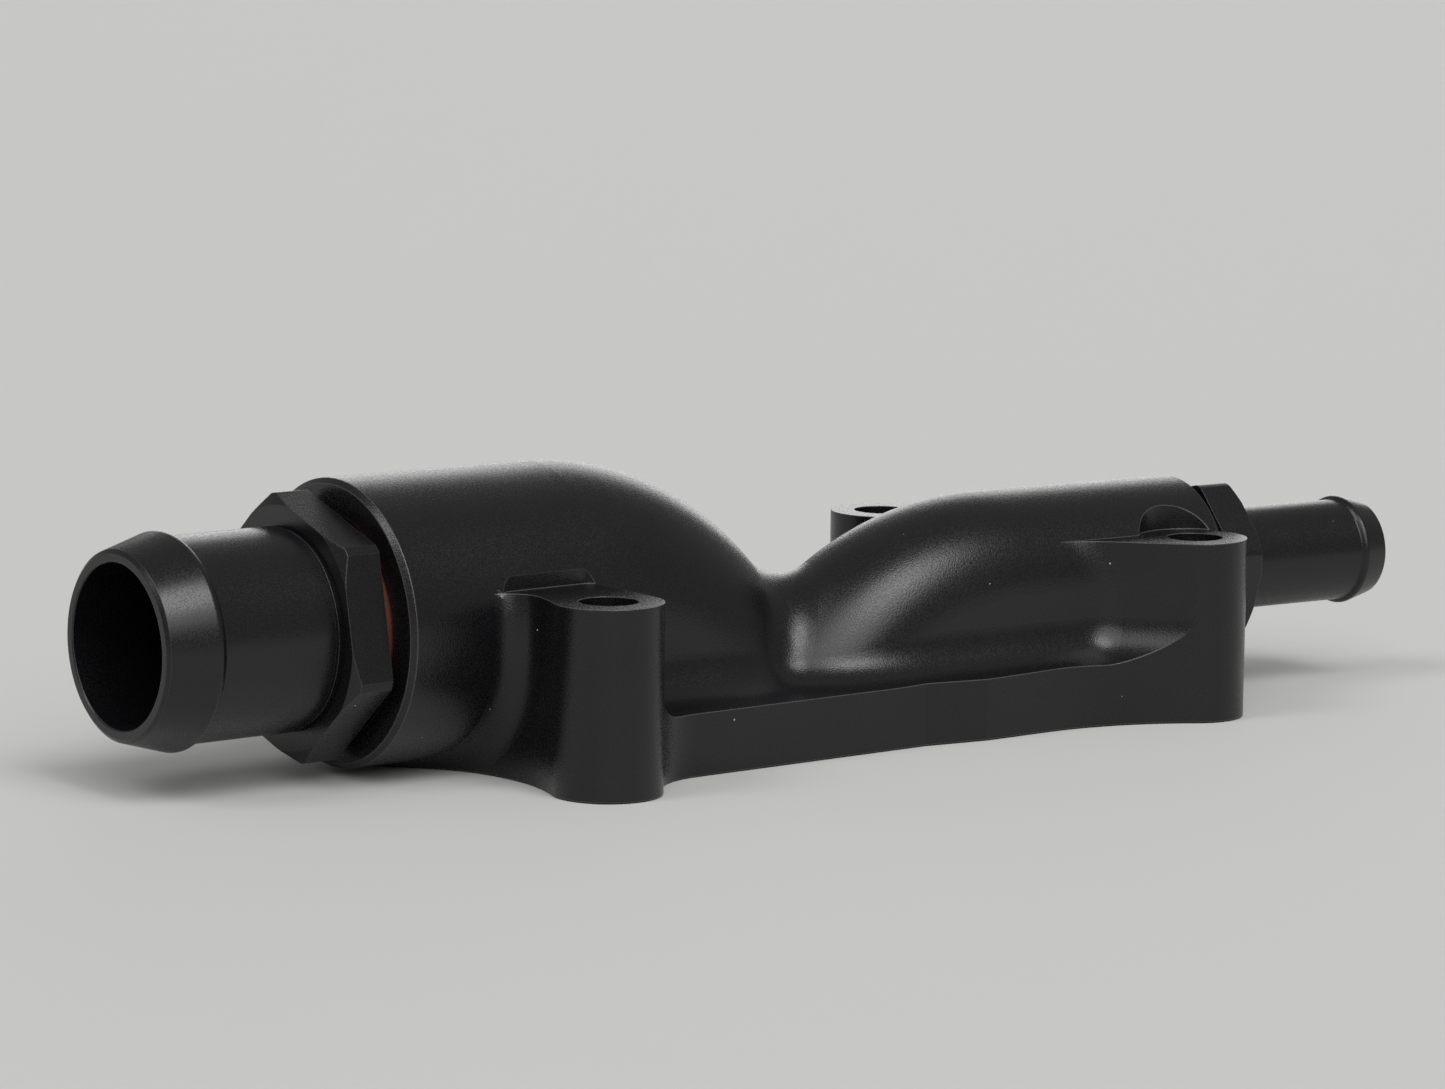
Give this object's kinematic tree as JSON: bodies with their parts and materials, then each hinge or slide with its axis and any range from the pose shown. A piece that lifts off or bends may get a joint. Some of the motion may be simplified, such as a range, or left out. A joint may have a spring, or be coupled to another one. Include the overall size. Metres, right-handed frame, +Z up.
{
  "type": "coolant flange",
  "caption": "Milled coolant flange with upright bolt bosses on a flat plate, a wide and a narrow branch that bend down into it, and a beaded hose fitting screwed into each port",
  "frame": {"origin": "centre of the front left bolt hole on the mounting face", "axes": "+X from the large port to the small port, +Y to the rear bolt boss, +Z up from the mounting face"},
  "size_m": [0.2317, 0.069, 0.0449],
  "materials": {
    "anodised_body": "black hard-anodised, satin, fine blasted grain",
    "anodised_fittings": "black anodised, turned, satin",
    "terracotta_rubber": "matte silicone rubber",
    "black_rubber": "matte"
  },
  "bodies": {
    "root": {"flange_body": "anodised_body", "large_hose_fitting": "anodised_fittings", "small_hose_fitting": "anodised_fittings", "large_port_ring": "terracotta_rubber", "small_port_ring": "terracotta_rubber", "base_seal_ring": "black_rubber"}
  },
  "joints": []
}
